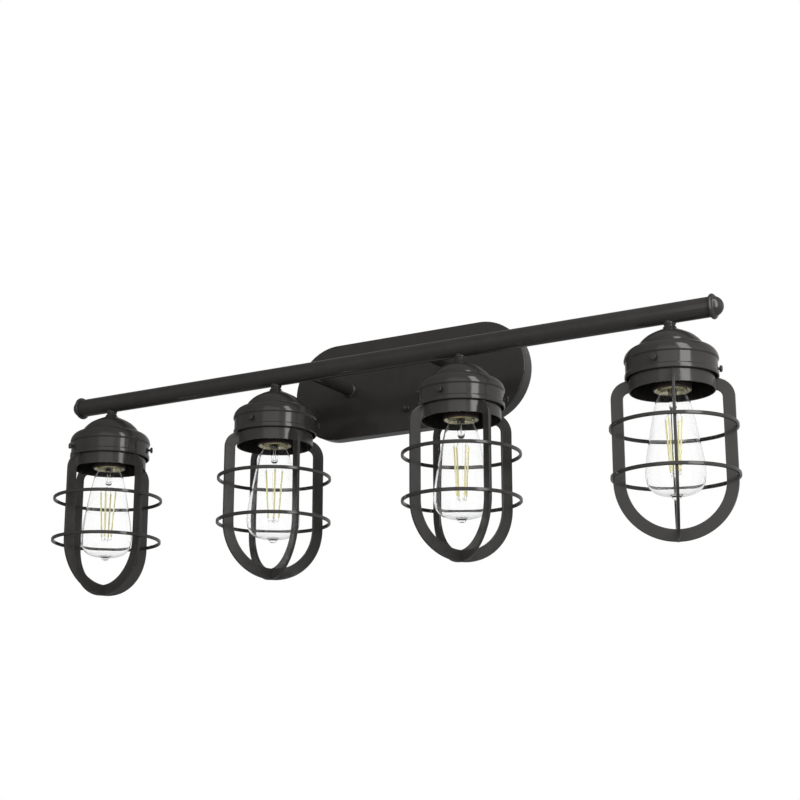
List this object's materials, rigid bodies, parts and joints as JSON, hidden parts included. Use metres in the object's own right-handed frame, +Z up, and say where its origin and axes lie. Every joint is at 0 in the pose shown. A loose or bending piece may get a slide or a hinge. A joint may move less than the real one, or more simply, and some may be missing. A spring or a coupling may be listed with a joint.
{
  "type": "vanity light bar",
  "caption": "Wall-mounted light bar with a stadium canopy, two arms and a round bar carrying caged lamp heads that point down, each with a clear long-neck bulb.",
  "frame": {"origin": "on the wall plane, at the middle of the bar's length and at the height of the bar's axis", "axes": "+X along the bar, to the right as seen from the room; +Y into the wall; +Z up"},
  "size_m": [0.8494, 0.1736, 0.2922],
  "materials": {
    "bronze_paint": "satin dark bronze powder coat",
    "cage_paint": "satin dark bronze powder coat on welded flat bar",
    "zinc_steel": "zinc plated",
    "green_screw": "green grounding screw",
    "black_wire": "black insulated fixture wire",
    "white_wire": "white insulated fixture wire",
    "phenolic": "dark moulded phenolic lamp socket",
    "brass": "thin brass screw shell",
    "clear_glass": "clear thin glass"
  },
  "bodies": {
    "fixture": {"canopy": "bronze_paint", "cap_nut_upper": "bronze_paint", "cap_nut_lower": "bronze_paint", "arm_left": "bronze_paint", "arm_right": "bronze_paint", "bar": "bronze_paint", "end_cap_left": "bronze_paint", "end_cap_right": "bronze_paint", "mounting_strap": "zinc_steel", "ground_screw": "green_screw", "wire_line": "black_wire", "wire_neutral": "white_wire", "stem_1": "bronze_paint", "cap_1": "bronze_paint", "holder_1": "bronze_paint", "socket_1": "phenolic", "stem_2": "bronze_paint", "cap_2": "bronze_paint", "holder_2": "bronze_paint", "socket_2": "phenolic", "stem_3": "bronze_paint", "cap_3": "bronze_paint", "holder_3": "bronze_paint", "socket_3": "phenolic", "stem_4": "bronze_paint", "cap_4": "bronze_paint", "holder_4": "bronze_paint", "socket_4": "phenolic"},
    "cage_1": {"cage_frame_1": "cage_paint", "cage_ring_upper_1": "cage_paint", "cage_ring_lower_1": "cage_paint"},
    "bulb_1": {"bulb_base_1": "brass", "bulb_glass_1": "clear_glass"},
    "screw_1a": {"thumbscrew_1a": "bronze_paint"},
    "screw_1b": {"thumbscrew_1b": "bronze_paint"},
    "screw_1c": {"thumbscrew_1c": "bronze_paint"},
    "cage_2": {"cage_frame_2": "cage_paint", "cage_ring_upper_2": "cage_paint", "cage_ring_lower_2": "cage_paint"},
    "bulb_2": {"bulb_base_2": "brass", "bulb_glass_2": "clear_glass"},
    "screw_2a": {"thumbscrew_2a": "bronze_paint"},
    "screw_2b": {"thumbscrew_2b": "bronze_paint"},
    "screw_2c": {"thumbscrew_2c": "bronze_paint"},
    "cage_3": {"cage_frame_3": "cage_paint", "cage_ring_upper_3": "cage_paint", "cage_ring_lower_3": "cage_paint"},
    "bulb_3": {"bulb_base_3": "brass", "bulb_glass_3": "clear_glass"},
    "screw_3a": {"thumbscrew_3a": "bronze_paint"},
    "screw_3b": {"thumbscrew_3b": "bronze_paint"},
    "screw_3c": {"thumbscrew_3c": "bronze_paint"},
    "cage_4": {"cage_frame_4": "cage_paint", "cage_ring_upper_4": "cage_paint", "cage_ring_lower_4": "cage_paint"},
    "bulb_4": {"bulb_base_4": "brass", "bulb_glass_4": "clear_glass"},
    "screw_4a": {"thumbscrew_4a": "bronze_paint"},
    "screw_4b": {"thumbscrew_4b": "bronze_paint"},
    "screw_4c": {"thumbscrew_4c": "bronze_paint"}
  },
  "joints": [
    {"name": "cage_1_drop", "type": "slide", "parent": "fixture", "child": "cage_1", "axis": [0, 0, -1], "range_m": [0, 0.145]},
    {"name": "bulb_1_unscrew", "type": "slide", "parent": "fixture", "child": "bulb_1", "axis": [0, 0, -1], "range_m": [0, 0.026]},
    {"name": "screw_1a_back_off", "type": "slide", "parent": "fixture", "child": "screw_1a", "axis": [-0.515, -0.8572, 0], "range_m": [0, 0.004]},
    {"name": "screw_1b_back_off", "type": "slide", "parent": "fixture", "child": "screw_1b", "axis": [0.866, 0.5, 0], "range_m": [0, 0.004]},
    {"name": "screw_1c_back_off", "type": "slide", "parent": "fixture", "child": "screw_1c", "axis": [-0.866, 0.5, 0], "range_m": [0, 0.004]},
    {"name": "cage_2_drop", "type": "slide", "parent": "fixture", "child": "cage_2", "axis": [0, 0, -1], "range_m": [0, 0.145]},
    {"name": "bulb_2_unscrew", "type": "slide", "parent": "fixture", "child": "bulb_2", "axis": [0, 0, -1], "range_m": [0, 0.026]},
    {"name": "screw_2a_back_off", "type": "slide", "parent": "fixture", "child": "screw_2a", "axis": [0, -1, 0], "range_m": [0, 0.004]},
    {"name": "screw_2b_back_off", "type": "slide", "parent": "fixture", "child": "screw_2b", "axis": [0.866, 0.5, 0], "range_m": [0, 0.004]},
    {"name": "screw_2c_back_off", "type": "slide", "parent": "fixture", "child": "screw_2c", "axis": [-0.866, 0.5, 0], "range_m": [0, 0.004]},
    {"name": "cage_3_drop", "type": "slide", "parent": "fixture", "child": "cage_3", "axis": [0, 0, -1], "range_m": [0, 0.145]},
    {"name": "bulb_3_unscrew", "type": "slide", "parent": "fixture", "child": "bulb_3", "axis": [0, 0, -1], "range_m": [0, 0.026]},
    {"name": "screw_3a_back_off", "type": "slide", "parent": "fixture", "child": "screw_3a", "axis": [0, -1, 0], "range_m": [0, 0.004]},
    {"name": "screw_3b_back_off", "type": "slide", "parent": "fixture", "child": "screw_3b", "axis": [0.866, 0.5, 0], "range_m": [0, 0.004]},
    {"name": "screw_3c_back_off", "type": "slide", "parent": "fixture", "child": "screw_3c", "axis": [-0.866, 0.5, 0], "range_m": [0, 0.004]},
    {"name": "cage_4_drop", "type": "slide", "parent": "fixture", "child": "cage_4", "axis": [0, 0, -1], "range_m": [0, 0.145]},
    {"name": "bulb_4_unscrew", "type": "slide", "parent": "fixture", "child": "bulb_4", "axis": [0, 0, -1], "range_m": [0, 0.026]},
    {"name": "screw_4a_back_off", "type": "slide", "parent": "fixture", "child": "screw_4a", "axis": [0, -1, 0], "range_m": [0, 0.004]},
    {"name": "screw_4b_back_off", "type": "slide", "parent": "fixture", "child": "screw_4b", "axis": [0.866, 0.5, 0], "range_m": [0, 0.004]},
    {"name": "screw_4c_back_off", "type": "slide", "parent": "fixture", "child": "screw_4c", "axis": [-0.866, 0.5, 0], "range_m": [0, 0.004]}
  ]
}
